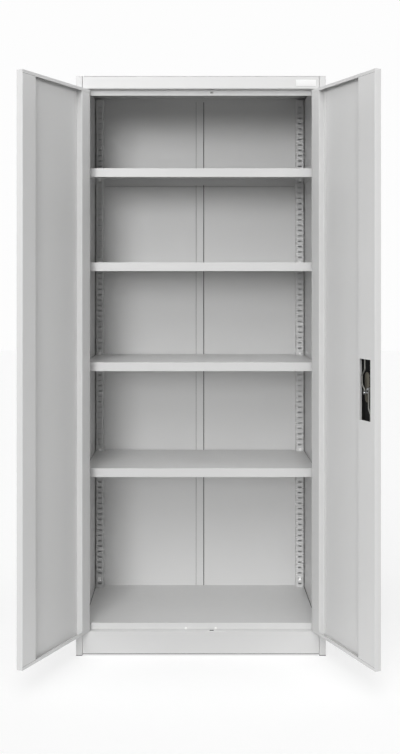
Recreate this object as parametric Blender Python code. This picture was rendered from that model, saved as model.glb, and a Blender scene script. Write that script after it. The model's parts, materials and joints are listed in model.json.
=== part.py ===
"""Two-door sheet steel storage cabinet with four loose shelves, doors standing open.

Metres, +Z up. The closed doors would lie in the plane y = 0; x runs across the front.
Every piece is modelled where it sits with the doors closed, then the door pieces are
swung about their pins into the open rest position.
"""
import math

import bmesh
import bpy
from mathutils import Matrix, Vector

# overall sizes
CABINET_W = 0.800
CABINET_H = 1.856
CABINET_D = 0.437
SHEET = 0.0008
GAP = 0.0003
BEND = 0.0014
BEND_STEPS = 3
ROD_BEND_STEPS = 2
ROD_SIDES_LEVEL = 1
OVERRUN = 0.004
PLACE_STEP = 0.0001
ROUND_SIDES = 20
PIN_SIDES = 16

# carcass
POST_W = 0.0205
POST_RETURN = 0.0212
REAR_FLANGE = 0.025
FRONT_JOINT = 0.0010
FOOT_H = 0.0022
FOOT_L = 0.030
FOOT_INSERT_H = 0.015
FOOT_CLEAR = 0.0006
RECESS = 0.0225
HEADER_H = 0.041
STOP_H = 0.018
HEADER_TOP_FLANGE = 0.018
PLINTH_BOTTOM_Z = 0.0060
PLINTH_TOP_Z = 0.0770
PLINTH_RECESS = 0.0012
PLINTH_TOP_FLANGE = 0.045
PLINTH_LOW_FLANGE = 0.015
FLOOR_TRAY_H = 0.0207
FLOOR_Z = PLINTH_TOP_Z + GAP + FLOOR_TRAY_H
ROOF_SKIRT = 0.0085
BACK_INSET = 0.0027
BACK_Y = CABINET_D - BACK_INSET
BACK_JOINT = 0.0004
STRIP_W = 0.026
STRIP_PROUD = 0.0035
STRIP_FOOT = 0.005
LINER_INSET = 0.0244
LINER_X = CABINET_W / 2 - LINER_INSET
LINER_FRONT_GAP = 0.0015
LINER_FRONT_Y = RECESS + LINER_FRONT_GAP
LINER_REAR_Y = BACK_Y - BACK_INSET
LINER_FLANGE = 0.021

# slotted uprights and shelf positions
SLOT_PITCH = 0.0192
SLOT_W = 0.012
SLOT_H = 0.0048
UPRIGHT_W = 0.027
UPRIGHT_D = 0.0263
SIDE_CLEAR = 0.0011
UPRIGHT_CLEAR = 0.0030
UPRIGHT_OUTER_X = LINER_X - UPRIGHT_CLEAR
UPRIGHT_FRONT_Y = BACK_Y - UPRIGHT_D
FRONT_SLOT_Y = 0.079
LOWEST_SHELF_Z = 0.5882
SHELF_STEPS = (0, 18, 35, 51)
PARKED_STEP = -24
SLOT_ABOVE_SHELF = 0.0036
SLOT_MARGIN = 0.008

# shelves
SHELF_HALF_W = LINER_X - SIDE_CLEAR
SHELF_FRONT_Y = 0.064
SHELF_REAR_GAP = 0.0043
SHELF_REAR_Y = BACK_Y - SHELF_REAR_GAP
SHELF_LIP = 0.0285
SHELF_REAR_LIP = 0.0235
SHELF_RETURN = 0.012
NOTCH_CLEAR = 0.0025
SIDE_NOTCH_W = 0.016
SIDE_NOTCH_DEEP = 0.0032

# shelf clips
CLIP_W = 0.0098
CLIP_T = 0.0016
CLIP_UP = 0.009
CLIP_DOWN = 0.011
CLIP_TAB = 0.014
CLIP_TONGUE_T = 0.0026
CLIP_HOOK = 0.006
CLIP_REACH = 0.0034

# doors
DOOR_SIDE_GAP = 0.0015
DOOR_T = 0.0205
DOOR_LOW_GAP = 0.0012
DOOR_HIGH_GAP = 0.0025
DOOR_BOTTOM_Z = PLINTH_TOP_Z + DOOR_LOW_GAP
DOOR_TOP_Z = CABINET_H - HEADER_H - DOOR_HIGH_GAP
PAN_ROUND = 0.0006
DOOR_LIP = 0.010
LEFT_EDGE_CHANNEL_W = 0.0690
RIGHT_EDGE_CHANNEL_W = 0.0931
HINGE_CHANNEL_W = 0.0480
CHANNEL_SHORT_LEG = 0.008
CHANNEL_FOOT = 0.014
LEFT_OPEN_DEG = 115.4
RIGHT_OPEN_DEG = 112.2
PIVOT_INSET = 0.0074
PIVOT_X = CABINET_W / 2 - POST_W - PIVOT_INSET
PIVOT_Y = 0.0045
PIN_R = 0.0025
PIN_HOLE_R = 0.0028
PIN_COLLAR_R = 0.0044
PIN_ENGAGE = 0.013
BUFFER_X = 0.048
BUFFER_R = 0.0042
BUFFER_Z = PLINTH_TOP_Z + GAP + BUFFER_R
BUFFER_T = 0.0014

# lock
LOCK_X = 0.0560
LOCK_Z = 0.880
WINDOW_HALF_W = 0.0295
WINDOW_BELOW = 0.087
WINDOW_ABOVE = 0.0925
LOCK_WINDOW_X0 = LOCK_X - WINDOW_HALF_W
LOCK_WINDOW_X1 = LOCK_X + WINDOW_HALF_W
LOCK_WINDOW_Z0 = LOCK_Z - WINDOW_BELOW
LOCK_WINDOW_Z1 = LOCK_Z + WINDOW_ABOVE
CASE_MARGIN = 0.005
CASE_T = 0.0070
CASE_WALL = 0.0025
CASE_FLOOR = 0.003
DISH_W = 0.036
DISH_H = 0.094
DISH_T = 0.0088
DISH_ROUND = 0.0022
SPINDLE_R = 0.0042
SPINDLE_HOLE_R = 0.0046
PLATE_W = 0.044
PLATE_H = 0.120
PLATE_T = 0.004
PLATE_ROUND = 0.0013
HUB_R = 0.0135
HUB_T = 0.020
HUB_ROUND = 0.001
GRIP_L = 0.084
GRIP_W = 0.020
GRIP_END_W = 0.013
GRIP_T = 0.011
GRIP_ROUND = 0.0035
BARREL_R = 0.0085
BARREL_T = 0.0035
BARREL_DEPTH = 0.008
KEYWAY_W = 0.0016
KEYWAY_L = 0.0085
KEYWAY_DEEP = 0.0035
CAM_Y = 0.0104
CAM_T = 0.0016
CAM_W = 0.0085
CAM_HUB_R = 0.0078
CRANK_R = 0.0125
CRANK_REST_DEG = -28.0
CRANK_TURN_DEG = 90.0
CRANK_PIN_R = 0.0021
CRANK_PIN_L = 0.0056
ROD_X = 0.0350
ROD_Y = 0.0148
ROD_R = 0.0025
ROD_BEND = 0.009
ROD_GUIDE_OFF = 0.110
ROD_GUIDE_SIZE = (0.022, 0.0175, 0.014)
ROD_HOLE_R = 0.0032
ROD_SLOT = (0.013, 0.0085)
ROD_TIP_INSET = 0.0004
ROD_SWELL = 0.0140
ROD_SWELL_LOW = 0.018
ROD_SWELL_HIGH = 0.046
ROD_SWELL_RUN = 0.016
ROD_NECK_X = 0.0660
ROD_JOG_L = 0.060
ROD_LOW_DROP = 0.052
ROD_LOW_JOG = 0.017
ROD_EYE_WALL = 0.0028
ROD_EYE_T = 0.0020
ROD_EYE_STEP = 0.0012
ROD_EYE_ROUND = 0.0006
EYE_SLOT_CLEAR = 0.0012
EYE_SIDE_CLEAR = 0.0008
STOP_HOLE_DROP = 0.0088
STOP_HOLE_Z = CABINET_H - HEADER_H - STOP_HOLE_DROP
STOP_HOLE = (0.009, 0.004)


# scene and material helpers
def clear_scene():
    for item in list(bpy.data.objects):
        bpy.data.objects.remove(item, do_unlink=True)


def make_material(name, colour, roughness, metallic):
    mat = bpy.data.materials.new(name)
    mat.use_nodes = True
    shader = mat.node_tree.nodes["Principled BSDF"]
    shader.inputs["Base Color"].default_value = (colour[0], colour[1], colour[2], 1.0)
    shader.inputs["Roughness"].default_value = roughness
    shader.inputs["Metallic"].default_value = metallic
    mat.diffuse_color = (colour[0], colour[1], colour[2], 1.0)
    return mat


def powder_coat(name):
    return make_material(name + "_paint", (0.60, 0.61, 0.60), 0.45, 0.0)


def zinc(name):
    return make_material(name + "_zinc", (0.72, 0.73, 0.74), 0.35, 0.9)


def black_plastic(name):
    return make_material(name + "_plastic", (0.018, 0.018, 0.019), 0.5, 0.0)


def white_plastic(name):
    return make_material(name + "_plastic", (0.86, 0.86, 0.85), 0.4, 0.0)


def grey_plastic(name):
    return make_material(name + "_plastic", (0.20, 0.20, 0.20), 0.6, 0.0)


def brass(name):
    return make_material(name + "_brass", (0.78, 0.62, 0.32), 0.28, 1.0)


def add_object(name, bm, mat):
    bmesh.ops.recalc_face_normals(bm, faces=bm.faces)
    mesh = bpy.data.meshes.new(name)
    bm.to_mesh(mesh)
    bm.free()
    obj = bpy.data.objects.new(name, mesh)
    bpy.context.scene.collection.objects.link(obj)
    if mat is not None:
        mesh.materials.append(mat)
    return obj


def shade_round(obj):
    mesh = obj.data
    mesh.shade_smooth()
    mesh.set_sharp_from_angle(angle=math.radians(35.0))


# solids
def box_mesh(low, high):
    bm = bmesh.new()
    bmesh.ops.create_cube(bm, size=1.0)
    size = Vector(high) - Vector(low)
    middle = (Vector(high) + Vector(low)) / 2
    bmesh.ops.scale(bm, vec=size, verts=bm.verts)
    bmesh.ops.translate(bm, vec=middle, verts=bm.verts)
    return bm


def box(name, low, high, mat, rounding=0.0, segments=2):
    lows = [min(a, b) for a, b in zip(low, high)]
    highs = [max(a, b) for a, b in zip(low, high)]
    bm = box_mesh(lows, highs)
    if rounding > 0.0:
        bmesh.ops.bevel(bm, geom=bm.edges[:], offset=rounding, segments=segments,
                        affect='EDGES', profile=0.5, clamp_overlap=True)
    return add_object(name, bm, mat)


def cylinder(name, start, axis, length, radius, mat, sides=ROUND_SIDES, rounding=0.0):
    bm = bmesh.new()
    bmesh.ops.create_cone(bm, cap_ends=True, cap_tris=False, segments=sides,
                          radius1=radius, radius2=radius, depth=length)
    bmesh.ops.translate(bm, vec=(0.0, 0.0, length / 2), verts=bm.verts)
    if rounding > 0.0:
        rims = [e for e in bm.edges if abs(e.verts[0].co.z - e.verts[1].co.z) < GAP / 10]
        bmesh.ops.bevel(bm, geom=rims, offset=rounding, segments=2, affect='EDGES', profile=0.5)
    turn = Vector((0.0, 0.0, 1.0)).rotation_difference(Vector(axis)).to_matrix().to_4x4()
    bmesh.ops.transform(bm, matrix=Matrix.Translation(Vector(start)) @ turn, verts=bm.verts)
    obj = add_object(name, bm, mat)
    shade_round(obj)
    return obj


def folded_line(points, radius, steps):
    """Samples (point, normal) along a path whose inner corners are rounded."""
    pts = [Vector(p) for p in points]
    samples = []

    def push(at, direction):
        samples.append((at.copy(), Vector((-direction.y, direction.x))))

    first = (pts[1] - pts[0]).normalized()
    push(pts[0], first)
    for i in range(1, len(pts) - 1):
        before = (pts[i] - pts[i - 1]).normalized()
        after = (pts[i + 1] - pts[i]).normalized()
        turn = before.angle_signed(after)
        back = radius * math.tan(abs(turn) / 2)
        start = pts[i] - before * back
        side = -1.0 if turn > 0.0 else 1.0
        centre = start + Vector((-before.y, before.x)) * radius * side
        for k in range(steps + 1):
            angle = -turn * k / steps
            spin = Matrix.Rotation(angle, 2)
            push(centre + spin @ (start - centre), spin @ before)
    push(pts[-1], (pts[-1] - pts[-2]).normalized())
    return samples


def sheet(name, points, axis, start, end, mat, thick=SHEET, radius=BEND):
    """One folded sheet: a centre line drawn across the axis and pushed along it."""
    samples = folded_line(points, radius, BEND_STEPS)
    bm = bmesh.new()
    rows = []
    for at, normal in samples:
        row = []
        for shift in (-thick / 2, thick / 2):
            edge = at + normal * shift
            for along in (start, end):
                if axis == 'Z':
                    row.append(bm.verts.new((edge.x, edge.y, along)))
                else:
                    row.append(bm.verts.new((along, edge.x, edge.y)))
        rows.append(row)
    for a, b in zip(rows, rows[1:]):
        bm.faces.new((a[0], b[0], b[1], a[1]))
        bm.faces.new((a[2], a[3], b[3], b[2]))
        bm.faces.new((a[0], a[2], b[2], b[0]))
        bm.faces.new((a[1], b[1], b[3], a[3]))
    for row in (rows[0], rows[-1]):
        bm.faces.new((row[0], row[1], row[3], row[2]))
    obj = add_object(name, bm, mat)
    shade_round(obj)
    return obj


def boolean(obj, cutter, operation='DIFFERENCE'):
    cutter.hide_render = True
    cutter.display_type = 'WIRE'
    mod = obj.modifiers.new(operation.lower(), 'BOOLEAN')
    mod.operation = operation
    mod.solver = 'EXACT'
    mod.object = cutter
    return obj


def cut_boxes(obj, name, boxes):
    """One cutter made of boxes that stand clear of each other."""
    bm = bmesh.new()
    for low, high in boxes:
        lows = [min(a, b) for a, b in zip(low, high)]
        highs = [max(a, b) for a, b in zip(low, high)]
        part = box_mesh(lows, highs)
        spare = bpy.data.meshes.new("spare")
        part.to_mesh(spare)
        part.free()
        bm.from_mesh(spare)
        bpy.data.meshes.remove(spare)
    return boolean(obj, add_object(name, bm, None))


def cut_round(obj, name, start, axis, length, radius, sides=ROUND_SIDES):
    return boolean(obj, cylinder(name, start, axis, length, radius, None, sides=sides))


def across(side, a, b):
    """An x range on the left (-1) or right (+1) half, low value first."""
    return (min(side * a, side * b), max(side * a, side * b))


def slot_heights():
    base = LOWEST_SHELF_Z + SLOT_ABOVE_SHELF
    low = math.ceil((FLOOR_Z + SLOT_MARGIN - base) / SLOT_PITCH)
    high = math.floor((CABINET_H - SHEET - ROOF_SKIRT - SLOT_MARGIN - base) / SLOT_PITCH)
    return [base + k * SLOT_PITCH for k in range(low, high + 1)]


def shelf_height(step):
    return LOWEST_SHELF_Z + step * SLOT_PITCH


SIDE_NAMES = {-1: "left", 1: "right"}
HALF_W = CABINET_W / 2
HALF_SHEET = SHEET / 2
PANEL_TOP = CABINET_H - SHEET - GAP
INSIDE_TOP = CABINET_H - SHEET - ROOF_SKIRT - GAP
FRONT_HALF_W = HALF_W - POST_W - FRONT_JOINT


# carcass
def side_panel(side):
    name = SIDE_NAMES[side] + "_side_panel"
    inner = HALF_W - POST_W + HALF_SHEET
    outer = HALF_W - HALF_SHEET
    rear = CABINET_D - HALF_SHEET
    path = [(side * inner, POST_RETURN), (side * inner, HALF_SHEET), (side * outer, HALF_SHEET),
            (side * outer, rear), (side * (HALF_W - REAR_FLANGE), rear)]
    return sheet(name, path, 'Z', FOOT_H + GAP, PANEL_TOP, powder_coat(name))


def inner_wall(side):
    name = SIDE_NAMES[side] + "_inner_wall"
    web = LINER_X + HALF_SHEET
    flange = LINER_X + LINER_FLANGE
    path = [(side * flange, LINER_FRONT_Y + HALF_SHEET), (side * web, LINER_FRONT_Y + HALF_SHEET),
            (side * web, LINER_REAR_Y), (side * flange, LINER_REAR_Y)]
    obj = sheet(name, path, 'Z', FLOOR_Z + GAP, INSIDE_TOP, powder_coat(name))
    x0, x1 = across(side, LINER_X - OVERRUN, LINER_X + OVERRUN)
    slots = [((x0, FRONT_SLOT_Y - SLOT_W / 2, z - SLOT_H / 2),
              (x1, FRONT_SLOT_Y + SLOT_W / 2, z + SLOT_H / 2)) for z in slot_heights()]
    return cut_boxes(obj, "cut_" + name, slots)


def rear_upright(side):
    name = SIDE_NAMES[side] + "_rear_upright"
    outer = UPRIGHT_OUTER_X - HALF_SHEET
    inner = UPRIGHT_OUTER_X - UPRIGHT_W + HALF_SHEET
    web = UPRIGHT_FRONT_Y + HALF_SHEET
    foot = BACK_Y - GAP
    path = [(side * outer, foot), (side * outer, web), (side * inner, web), (side * inner, foot)]
    obj = sheet(name, path, 'Z', FLOOR_Z + GAP, INSIDE_TOP, powder_coat(name))
    middle = UPRIGHT_OUTER_X - UPRIGHT_W / 2
    x0, x1 = across(side, middle - SLOT_W / 2, middle + SLOT_W / 2)
    slots = [((x0, UPRIGHT_FRONT_Y - OVERRUN, z - SLOT_H / 2),
              (x1, UPRIGHT_FRONT_Y + OVERRUN, z + SLOT_H / 2)) for z in slot_heights()]
    return cut_boxes(obj, "cut_" + name, slots)


def header_rail():
    name = "header_rail"
    top = PANEL_TOP - HALF_SHEET
    low = CABINET_H - HEADER_H + HALF_SHEET
    stop_y = RECESS + HALF_SHEET
    path = [(HEADER_TOP_FLANGE, top), (HALF_SHEET, top), (HALF_SHEET, low), (stop_y, low),
            (stop_y, low - HALF_SHEET - STOP_H)]
    obj = sheet(name, path, 'X', -FRONT_HALF_W, FRONT_HALF_W, powder_coat(name))
    half_x = ROD_SLOT[0] / 2
    half_y = ROD_SLOT[1] / 2
    rod_way = ((ROD_X - half_x, ROD_Y - half_y, low - OVERRUN), (ROD_X + half_x, ROD_Y + half_y, low + OVERRUN))
    hole = ((ROD_X - STOP_HOLE[0] / 2, RECESS - OVERRUN, STOP_HOLE_Z - STOP_HOLE[1] / 2),
            (ROD_X + STOP_HOLE[0] / 2, RECESS + OVERRUN, STOP_HOLE_Z + STOP_HOLE[1] / 2))
    return cut_boxes(obj, "cut_" + name, [rod_way, hole])


def plinth():
    name = "plinth"
    top = PLINTH_TOP_Z - HALF_SHEET
    low = PLINTH_BOTTOM_Z + HALF_SHEET
    face = PLINTH_RECESS + HALF_SHEET
    path = [(PLINTH_TOP_FLANGE, top), (face, top), (face, low), (PLINTH_LOW_FLANGE, low)]
    obj = sheet(name, path, 'X', -FRONT_HALF_W, FRONT_HALF_W, powder_coat(name))
    half_x = ROD_SLOT[0] / 2
    half_y = ROD_SLOT[1] / 2
    rod_way = ((ROD_X - half_x, ROD_Y - half_y, top - OVERRUN), (ROD_X + half_x, ROD_Y + half_y, top + OVERRUN))
    return cut_boxes(obj, "cut_" + name, [rod_way])


def floor_panel():
    name = "floor_panel"
    half = HALF_W - SHEET - GAP - HALF_SHEET
    rear = BACK_Y - GAP - HALF_SHEET
    low = PLINTH_TOP_Z + GAP
    obj = box(name, (-half, RECESS, low), (half, rear, FLOOR_Z), powder_coat(name), rounding=PAN_ROUND)
    inside = ((-half + SHEET, RECESS + SHEET, low - OVERRUN), (half - SHEET, rear - SHEET, FLOOR_Z - SHEET))
    cut_boxes(obj, "cut_" + name, [inside])
    shade_round(obj)
    return obj


def roof_panel():
    name = "roof_panel"
    half = HALF_W - SHEET - GAP - HALF_SHEET
    rear = BACK_Y - GAP - HALF_SHEET
    low = CABINET_H - SHEET - ROOF_SKIRT
    obj = box(name, (-HALF_W, 0.0, CABINET_H - SHEET), (HALF_W, CABINET_D, CABINET_H), powder_coat(name))
    front = RECESS + SHEET + GAP + GAP
    skirt = box("add_" + name, (-half, front, low), (half, rear, CABINET_H - HALF_SHEET), None)
    boolean(obj, skirt, 'UNION')
    inside = ((-half + SHEET, front + SHEET, low - OVERRUN), (half - SHEET, rear - SHEET, CABINET_H - SHEET))
    return cut_boxes(obj, "cut_" + name, [inside])


def back_panel(side):
    name = "back_panel_" + SIDE_NAMES[side]
    outer = HALF_W - SHEET - GAP
    x0, x1 = across(side, BACK_JOINT, outer)
    return box(name, (x0, BACK_Y, PLINTH_BOTTOM_Z), (x1, BACK_Y + SHEET, PANEL_TOP), powder_coat(name))


def back_strip():
    name = "back_joint_strip"
    foot_y = BACK_Y - GAP - HALF_SHEET
    web_y = BACK_Y - STRIP_PROUD + HALF_SHEET
    half = STRIP_W / 2 - HALF_SHEET
    path = [(-half - STRIP_FOOT, foot_y), (-half, foot_y), (-half, web_y), (half, web_y),
            (half, foot_y), (half + STRIP_FOOT, foot_y)]
    return sheet(name, path, 'Z', FLOOR_Z + GAP, INSIDE_TOP, powder_coat(name), radius=SHEET * 0.75)


def foot(side, front):
    name = SIDE_NAMES[side] + ("_front_foot" if front else "_rear_foot")
    if front:
        x0, x1 = across(side, HALF_W - POST_W, HALF_W)
        y0, y1 = 0.0, FOOT_L
        a0, a1 = across(side, HALF_W - POST_W + SHEET + FOOT_CLEAR, HALF_W - SHEET - FOOT_CLEAR)
        b0, b1 = SHEET + FOOT_CLEAR, POST_RETURN
    else:
        x0, x1 = across(side, HALF_W - REAR_FLANGE, HALF_W)
        y0, y1 = CABINET_D - FOOT_L, CABINET_D
        a0, a1 = across(side, HALF_W - REAR_FLANGE, HALF_W - SHEET - FOOT_CLEAR)
        b0, b1 = CABINET_D - FOOT_L + SHEET, BACK_Y - SHEET
    obj = box(name, (x0, y0, 0.0), (x1, y1, FOOT_H), grey_plastic(name))
    plug = box("add_" + name, (a0, b0, SHEET), (a1, b1, FOOT_H + FOOT_INSERT_H), None)
    return boolean(obj, plug, 'UNION')


# shelves and clips
def shelf(number, top):
    name = "shelf_" + str(number)
    low = top - SHELF_LIP
    obj = box(name, (-SHELF_HALF_W, SHELF_FRONT_Y, low), (SHELF_HALF_W, SHELF_REAR_Y, top),
              powder_coat(name), rounding=PAN_ROUND)
    inner = SHELF_HALF_W - SHEET
    front = SHELF_FRONT_Y + SHEET
    rear = SHELF_REAR_Y - SHEET
    under = top - SHEET
    cut_boxes(obj, "cut_pan_" + name, [((-inner, front, low + SHEET), (inner, rear, under))])
    opening = ((-inner, front + SHELF_RETURN, low - OVERRUN), (inner, rear, low + SHEET * 2))
    cut_boxes(obj, "cut_under_" + name, [opening])
    rear_low = ((-SHELF_HALF_W - OVERRUN, front + SHELF_RETURN, low - OVERRUN),
                (SHELF_HALF_W + OVERRUN, SHELF_REAR_Y + OVERRUN, top - SHELF_REAR_LIP))
    cut_boxes(obj, "cut_low_" + name, [rear_low])
    corner_x = UPRIGHT_OUTER_X - UPRIGHT_W - NOTCH_CLEAR
    corner_y = UPRIGHT_FRONT_Y - NOTCH_CLEAR
    cuts = []
    for side in (-1, 1):
        x0, x1 = across(side, corner_x, SHELF_HALF_W + OVERRUN)
        cuts.append(((x0, corner_y, low - OVERRUN), (x1, SHELF_REAR_Y + OVERRUN, top + OVERRUN)))
        x0, x1 = across(side, SHELF_HALF_W - SIDE_NOTCH_DEEP, SHELF_HALF_W + OVERRUN)
        cuts.append(((x0, FRONT_SLOT_Y - SIDE_NOTCH_W / 2, low - OVERRUN),
                     (x1, FRONT_SLOT_Y + SIDE_NOTCH_W / 2, top + OVERRUN)))
    cut_boxes(obj, "cut_notch_" + name, cuts)
    shade_round(obj)
    return obj


def clip_outline(top):
    """Side view of a clip as (distance out of the slotted face, height)."""
    face = GAP
    outer = face + CLIP_T
    seat = top - SHEET - GAP
    tongue = top + SLOT_ABOVE_SHELF
    half = CLIP_TONGUE_T / 2
    hook = -SHEET - CLIP_REACH
    return [(face, top + CLIP_UP), (face, tongue + half), (hook, tongue + half),
            (hook, tongue - CLIP_HOOK), (hook + CLIP_T, tongue - CLIP_HOOK),
            (hook + CLIP_T, tongue - half), (face, tongue - half), (face, top - CLIP_DOWN),
            (outer, top - CLIP_DOWN), (outer, seat - CLIP_T), (outer + CLIP_TAB, seat - CLIP_T),
            (outer + CLIP_TAB, seat), (outer, seat), (outer, top + CLIP_UP)]


def clip(name, top, place):
    bm = bmesh.new()
    outline = clip_outline(top)
    ends = []
    for shift in (-CLIP_W / 2, CLIP_W / 2):
        ends.append([bm.verts.new(place(out, shift, height)) for out, height in outline])
    count = len(outline)
    for i in range(count):
        j = (i + 1) % count
        bm.faces.new((ends[0][i], ends[0][j], ends[1][j], ends[1][i]))
    bm.faces.new(ends[0])
    bm.faces.new(list(reversed(ends[1])))
    return add_object(name, bm, white_plastic(name))


def rear_clip(name, side, top):
    middle = side * (UPRIGHT_OUTER_X - UPRIGHT_W / 2)
    return clip(name, top, lambda out, shift, z: (middle + shift, UPRIGHT_FRONT_Y - out, z))


def front_clip(name, side, top):
    return clip(name, top, lambda out, shift, z: (side * (LINER_X - out), FRONT_SLOT_Y + shift, z))


# doors, drawn closed
def door_pan(side):
    name = SIDE_NAMES[side] + "_door"
    hinge_x = HALF_W - POST_W - DOOR_SIDE_GAP
    free_x = DOOR_SIDE_GAP
    x0, x1 = across(side, free_x, hinge_x)
    obj = box(name, (x0, 0.0, DOOR_BOTTOM_Z), (x1, DOOR_T, DOOR_TOP_Z), powder_coat(name), rounding=PAN_ROUND)
    a0, a1 = x0 + SHEET, x1 - SHEET
    pan = ((a0, SHEET, DOOR_BOTTOM_Z + SHEET), (a1, DOOR_T - SHEET, DOOR_TOP_Z - SHEET))
    cut_boxes(obj, "cut_pan_" + name, [pan])
    mouth = ((a0, SHEET * 2, DOOR_BOTTOM_Z + DOOR_LIP), (a1, DOOR_T + OVERRUN, DOOR_TOP_Z - DOOR_LIP))
    cut_boxes(obj, "cut_mouth_" + name, [mouth])
    for z, tag in ((DOOR_BOTTOM_Z, "low"), (DOOR_TOP_Z, "high")):
        start = (side * PIVOT_X, PIVOT_Y, z - OVERRUN)
        cut_round(obj, "cut_pin_" + tag + "_" + name, start, (0, 0, 1), OVERRUN * 2, PIN_HOLE_R, PIN_SIDES)
        if side > 0:
            start = (ROD_X, ROD_Y, z - OVERRUN)
            cut_round(obj, "cut_rod_" + tag, start, (0, 0, 1), OVERRUN * 2, ROD_HOLE_R, PIN_SIDES)
    if side > 0:
        cut_round(obj, "cut_spindle", (LOCK_X, -OVERRUN, LOCK_Z), (0, 1, 0), OVERRUN * 2, SPINDLE_HOLE_R)
    shade_round(obj)
    return obj


def channel(name, side, start_x, direction, width):
    """Hat half: short leg on the door's edge, face, wall and a foot on the door skin.

    It runs the whole height of the pan, with its face cut back where the pan's own lips are.
    """
    face_y = DOOR_T - HALF_SHEET
    skin_y = SHEET + GAP + HALF_SHEET
    edge = start_x + direction * (SHEET + GAP + HALF_SHEET)
    wall = start_x + direction * (width - HALF_SHEET)
    foot = wall + direction * CHANNEL_FOOT
    path = [(side * edge, face_y - CHANNEL_SHORT_LEG), (side * edge, face_y), (side * wall, face_y),
            (side * wall, skin_y), (side * foot, skin_y)]
    low = DOOR_BOTTOM_Z + SHEET + GAP
    high = DOOR_TOP_Z - SHEET - GAP
    obj = sheet(name, path, 'Z', low, high, powder_coat(name))
    x0, x1 = across(side, min(start_x, foot) - OVERRUN, max(start_x, foot) + OVERRUN)
    y0, y1 = DOOR_T - SHEET - BEND - GAP, DOOR_T + OVERRUN
    ends = [((x0, y0, low - OVERRUN), (x1, y1, DOOR_BOTTOM_Z + DOOR_LIP + GAP)),
            ((x0, y0, DOOR_TOP_Z - DOOR_LIP - GAP), (x1, y1, high + OVERRUN))]
    return cut_boxes(obj, "cut_ends_" + name, ends)


def edge_channel(side):
    name = SIDE_NAMES[side] + "_door_edge_channel"
    width = RIGHT_EDGE_CHANNEL_W if side > 0 else LEFT_EDGE_CHANNEL_W
    obj = channel(name, side, DOOR_SIDE_GAP, 1.0, width)
    if side > 0:
        window = ((LOCK_WINDOW_X0, DOOR_T - OVERRUN, LOCK_WINDOW_Z0), (LOCK_WINDOW_X1, DOOR_T + OVERRUN, LOCK_WINDOW_Z1))
        cut_boxes(obj, "cut_window", [window])
    return obj


def hinge_channel(side):
    name = SIDE_NAMES[side] + "_door_hinge_channel"
    return channel(name, side, HALF_W - POST_W - DOOR_SIDE_GAP, -1.0, HINGE_CHANNEL_W)


def hinge_pin(side, top):
    name = SIDE_NAMES[side] + ("_top_hinge_pin" if top else "_bottom_hinge_pin")
    at = (side * PIVOT_X, PIVOT_Y)
    if top:
        z0 = CABINET_H - HEADER_H - GAP
        z1 = DOOR_TOP_Z + GAP
        z2 = DOOR_TOP_Z - PIN_ENGAGE
    else:
        z0 = PLINTH_TOP_Z + GAP
        z1 = DOOR_BOTTOM_Z - GAP
        z2 = DOOR_BOTTOM_Z + PIN_ENGAGE
    up = 1.0 if z2 > z0 else -1.0
    obj = cylinder(name, (at[0], at[1], z0), (0, 0, up), abs(z1 - z0), PIN_COLLAR_R, zinc(name), sides=PIN_SIDES)
    root = (at[0], at[1], z0 + (z1 - z0) / 2)
    shaft = cylinder("add_" + name, root, (0, 0, up), abs(z2 - root[2]), PIN_R, None, sides=PIN_SIDES)
    return boolean(obj, shaft, 'UNION')


def door_buffer(side):
    name = SIDE_NAMES[side] + "_door_buffer"
    start = (side * BUFFER_X, RECESS - GAP, BUFFER_Z)
    return cylinder(name, start, (0, -1, 0), BUFFER_T, BUFFER_R, white_plastic(name), sides=PIN_SIDES)


# lock, on the right door
def lock_case():
    """Moulded case behind the window, with the long dish that the spindle passes through."""
    name = "lock_case"
    x0, x1 = LOCK_WINDOW_X0 - CASE_MARGIN, LOCK_WINDOW_X1 + CASE_MARGIN
    z0, z1 = LOCK_WINDOW_Z0 - CASE_MARGIN, LOCK_WINDOW_Z1 + CASE_MARGIN
    y0 = SHEET + GAP
    obj = box(name, (x0, y0, z0), (x1, y0 + CASE_T, z1), black_plastic(name), rounding=SHEET)
    tray = box("cut_tray", (x0 + CASE_WALL, y0 + CASE_FLOOR, z0 + CASE_WALL),
               (x1 - CASE_WALL, y0 + CASE_T + OVERRUN, z1 - CASE_WALL), None, rounding=SHEET)
    boolean(obj, tray)
    dish = rounded_bar("add_dish", (LOCK_X, LOCK_Z), (0.0, DISH_H / 2 - DISH_W / 2), DISH_W / 2,
                       y0 + CASE_FLOOR / 2, y0 + DISH_T, None, DISH_ROUND, rounded=y0 + DISH_T)
    boolean(obj, dish, 'UNION')
    cut_round(obj, "cut_case_spindle", (LOCK_X, -OVERRUN, LOCK_Z), (0, 1, 0),
              DISH_T + OVERRUN * 3, SPINDLE_HOLE_R)
    shade_round(obj)
    return obj


def handle_plate():
    name = "handle_plate"
    obj = rounded_bar(name, (LOCK_X, LOCK_Z), (0.0, PLATE_H / 2 - PLATE_W / 2), PLATE_W / 2,
                      -GAP - PLATE_T, -GAP, black_plastic(name), PLATE_ROUND, rounded=-GAP - PLATE_T)
    cut_round(obj, "cut_plate_spindle", (LOCK_X, -PLATE_T - OVERRUN, LOCK_Z), (0, 1, 0),
              PLATE_T + OVERRUN * 2, SPINDLE_HOLE_R)
    shade_round(obj)
    return obj


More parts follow.
